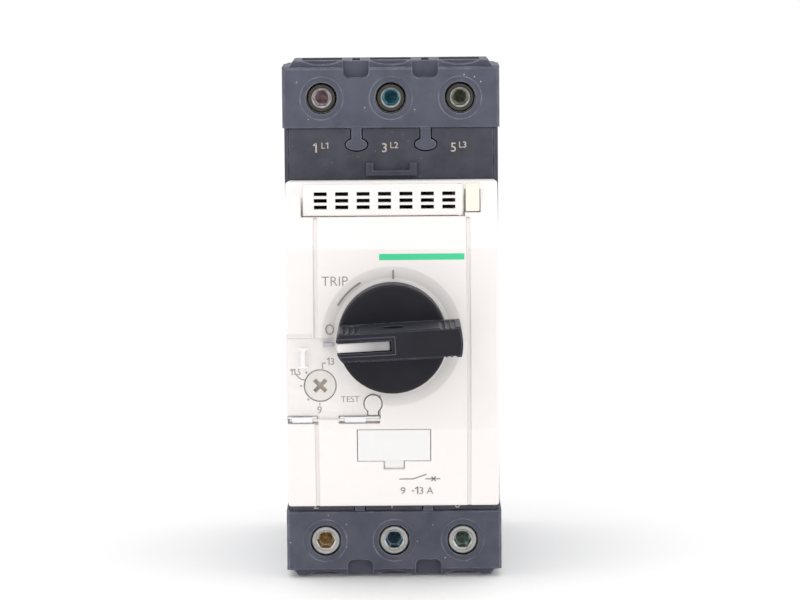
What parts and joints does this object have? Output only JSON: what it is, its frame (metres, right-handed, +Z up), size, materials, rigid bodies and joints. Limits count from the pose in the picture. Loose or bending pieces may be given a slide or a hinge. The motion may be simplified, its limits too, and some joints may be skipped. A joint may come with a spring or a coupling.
{
  "type": "motor protection breaker",
  "caption": "Rotary-handle motor protection breaker for rail mounting, with box-clamp screw terminals, setting dial, test button and sealable clear lid.",
  "frame": {"origin": "middle of the face that rests on the front of a 35 mm top-hat rail", "axes": "+X to the right seen from the front, +Z up to the line terminals, +Y from the handle back to the wall"},
  "size_m": [0.055, 0.136, 0.132],
  "materials": {
    "black_plastic": "fine moulded texture",
    "strip_plastic": "fine moulded texture",
    "cream_plastic": "satin moulded",
    "flap_plastic": "satin moulded",
    "filler_plastic": "satin moulded",
    "knob_plastic": "fine moulded texture",
    "tongue_plastic": "satin moulded",
    "clear_plastic": "clear moulded",
    "seal_plastic": "gloss moulded",
    "dial_plastic": "satin moulded",
    "button_plastic": "satin moulded",
    "release_plastic": "moulded",
    "zinc_steel": "zinc plated",
    "line_screw_steel": "oiled zinc plate",
    "load_screw_steel": "bright zinc plate",
    "plate_steel": "zinc plated",
    "spring_steel": "drawn wire",
    "brass": "machined",
    "copper": "bare copper",
    "silver": "silver alloy",
    "core_steel": "bare steel",
    "bimetal": "rolled bimetal",
    "fibre": "pressed fibre"
  },
  "bodies": {
    "breaker": {"arc_cheeks": "fibre", "arc_plates": "core_steel", "aux_flap_pin": "zinc_steel", "aux_socket": "black_plastic", "base_housing": "black_plastic", "bimetals": "bimetal", "coil_links": "copper", "coil_yokes": "zinc_steel", "fixed_tips": "silver", "flap_stop": "filler_plastic", "front_cover": "cream_plastic", "heaters": "bimetal", "housing_screws": "zinc_steel", "lid_hinge_pin": "cream_plastic", "line_cages": "zinc_steel", "line_links": "copper", "load_cages": "zinc_steel", "load_links": "copper", "magnet_coils": "copper", "marking_strip_bottom": "strip_plastic", "marking_strip_top": "strip_plastic", "mechanism_frame": "zinc_steel", "mid_housing": "black_plastic", "rail_latch_spring": "spring_steel", "return_springs": "spring_steel", "seal_staple": "seal_plastic", "shaft_bush": "brass", "strip_latch": "strip_plastic", "terminal_block_bottom": "black_plastic", "terminal_block_top": "black_plastic", "test_spring": "spring_steel"},
    "handle": {"knob": "knob_plastic", "knob_shaft": "zinc_steel", "drive_cam": "brass"},
    "padlock_tongue": {"padlock_tongue": "tongue_plastic"},
    "contact_carrier": {"contact_carrier": "release_plastic", "moving_contacts": "copper", "contact_springs": "spring_steel"},
    "setting_dial": {"setting_dial": "dial_plastic"},
    "test_button": {"test_button": "button_plastic"},
    "trip_bar": {"trip_bar": "release_plastic"},
    "plungers": {"plungers": "core_steel"},
    "clear_lid": {"clear_lid": "clear_plastic"},
    "aux_flap": {"aux_flap": "flap_plastic"},
    "marker_plate": {"marker_plate": "cream_plastic"},
    "rail_latch": {"rail_latch": "black_plastic"},
    "line_plate_1": {"line_plate_1": "plate_steel"},
    "line_screw_1": {"line_screw_1": "line_screw_steel"},
    "line_plate_2": {"line_plate_2": "plate_steel"},
    "line_screw_2": {"line_screw_2": "line_screw_steel"},
    "line_plate_3": {"line_plate_3": "plate_steel"},
    "line_screw_3": {"line_screw_3": "line_screw_steel"},
    "load_plate_1": {"load_plate_1": "plate_steel"},
    "load_screw_1": {"load_screw_1": "load_screw_steel"},
    "load_plate_2": {"load_plate_2": "plate_steel"},
    "load_screw_2": {"load_screw_2": "load_screw_steel"},
    "load_plate_3": {"load_plate_3": "plate_steel"},
    "load_screw_3": {"load_screw_3": "load_screw_steel"}
  },
  "joints": [
    {"name": "handle_turn", "type": "hinge", "parent": "breaker", "child": "handle", "pos_m": [0, -0.1065, -0.0003], "axis": [0, 1, 0], "range_deg": [0, 90]},
    {"name": "padlock_pull", "type": "slide", "parent": "handle", "child": "padlock_tongue", "axis": [0, -1, 0], "range_m": [0, 0.01]},
    {"name": "carrier_slide", "type": "slide", "parent": "breaker", "child": "contact_carrier", "axis": [0, 1, 0], "range_m": [0, 0.003], "deforming": ["return_springs"]},
    {"name": "dial_turn", "type": "hinge", "parent": "breaker", "child": "setting_dial", "pos_m": [-0.0179, -0.106, -0.01255], "axis": [0, -1, 0], "range_deg": [-195, 0]},
    {"name": "test_press", "type": "slide", "parent": "breaker", "child": "test_button", "axis": [0, 1, 0], "range_m": [0, 0.0015], "stiffness_N_per_m": 400, "springref_m": -0.0005, "deforming": ["test_spring"]},
    {"name": "trip_rock", "type": "hinge", "parent": "breaker", "child": "trip_bar", "pos_m": [0, -0.066, -0.028], "axis": [-1, 0, 0], "range_deg": [0, 8]},
    {"name": "plunger_strike", "type": "slide", "parent": "breaker", "child": "plungers", "axis": [0, -1, 0], "range_m": [0, 0.002], "stiffness_N_per_m": 600, "springref_m": -0.0005},
    {"name": "lid_swing", "type": "hinge", "parent": "breaker", "child": "clear_lid", "pos_m": [-0.014, -0.1057, -0.0211], "axis": [1, 0, 0], "range_deg": [0, 85]},
    {"name": "flap_swing", "type": "hinge", "parent": "breaker", "child": "aux_flap", "pos_m": [0.0169, -0.0991, 0.0326], "axis": [0, 0, 1], "range_deg": [0, 100]},
    {"name": "marker_lift", "type": "slide", "parent": "breaker", "child": "marker_plate", "axis": [0, -0.9391, -0.3436], "range_m": [0, 0.006]},
    {"name": "latch_slide", "type": "slide", "parent": "breaker", "child": "rail_latch", "axis": [0, 0, -1], "range_m": [0, 0.004], "stiffness_N_per_m": 900, "springref_m": -0.002, "deforming": ["rail_latch_spring"]},
    {"name": "line_plate_slide_1", "type": "slide", "parent": "breaker", "child": "line_plate_1", "axis": [0, 1, 0], "range_m": [-0.0014, 0.0035]},
    {"name": "line_screw_turn_1", "type": "hinge", "parent": "line_plate_1", "child": "line_screw_1", "pos_m": [-0.0175, -0.07, 0.0566], "axis": [0, 1, 0], "range_deg": [-505, 1261]},
    {"name": "line_plate_slide_2", "type": "slide", "parent": "breaker", "child": "line_plate_2", "axis": [0, 1, 0], "range_m": [-0.0014, 0.0035]},
    {"name": "line_screw_turn_2", "type": "hinge", "parent": "line_plate_2", "child": "line_screw_2", "pos_m": [0, -0.07, 0.0566], "axis": [0, 1, 0], "range_deg": [-505, 1261]},
    {"name": "line_plate_slide_3", "type": "slide", "parent": "breaker", "child": "line_plate_3", "axis": [0, 1, 0], "range_m": [-0.0014, 0.0035]},
    {"name": "line_screw_turn_3", "type": "hinge", "parent": "line_plate_3", "child": "line_screw_3", "pos_m": [0.0175, -0.07, 0.0566], "axis": [0, 1, 0], "range_deg": [-505, 1261]},
    {"name": "load_plate_slide_1", "type": "slide", "parent": "breaker", "child": "load_plate_1", "axis": [0, 1, 0], "range_m": [0, 0.0048]},
    {"name": "load_screw_turn_1", "type": "hinge", "parent": "load_plate_1", "child": "load_screw_1", "pos_m": [-0.0175, -0.07, -0.0566], "axis": [0, 1, 0], "range_deg": [0, 1729]},
    {"name": "load_plate_slide_2", "type": "slide", "parent": "breaker", "child": "load_plate_2", "axis": [0, 1, 0], "range_m": [0, 0.0048]},
    {"name": "load_screw_turn_2", "type": "hinge", "parent": "load_plate_2", "child": "load_screw_2", "pos_m": [0, -0.07, -0.0566], "axis": [0, 1, 0], "range_deg": [0, 1729]},
    {"name": "load_plate_slide_3", "type": "slide", "parent": "breaker", "child": "load_plate_3", "axis": [0, 1, 0], "range_m": [0, 0.0048]},
    {"name": "load_screw_turn_3", "type": "hinge", "parent": "load_plate_3", "child": "load_screw_3", "pos_m": [0.0175, -0.07, -0.0566], "axis": [0, 1, 0], "range_deg": [0, 1729]}
  ],
  "couplings": [
    {"joint": "carrier_slide", "follows": "handle_turn", "m_per_rad": 0.0019099},
    {"joint": "trip_rock", "follows": "test_press", "rad_per_m": 91},
    {"joint": "line_screw_turn_1", "follows": "line_plate_slide_1", "rad_per_m": 6283.2},
    {"joint": "line_screw_turn_2", "follows": "line_plate_slide_2", "rad_per_m": 6283.2},
    {"joint": "line_screw_turn_3", "follows": "line_plate_slide_3", "rad_per_m": 6283.2},
    {"joint": "load_screw_turn_1", "follows": "load_plate_slide_1", "rad_per_m": 6283.2},
    {"joint": "load_screw_turn_2", "follows": "load_plate_slide_2", "rad_per_m": 6283.2},
    {"joint": "load_screw_turn_3", "follows": "load_plate_slide_3", "rad_per_m": 6283.2}
  ]
}
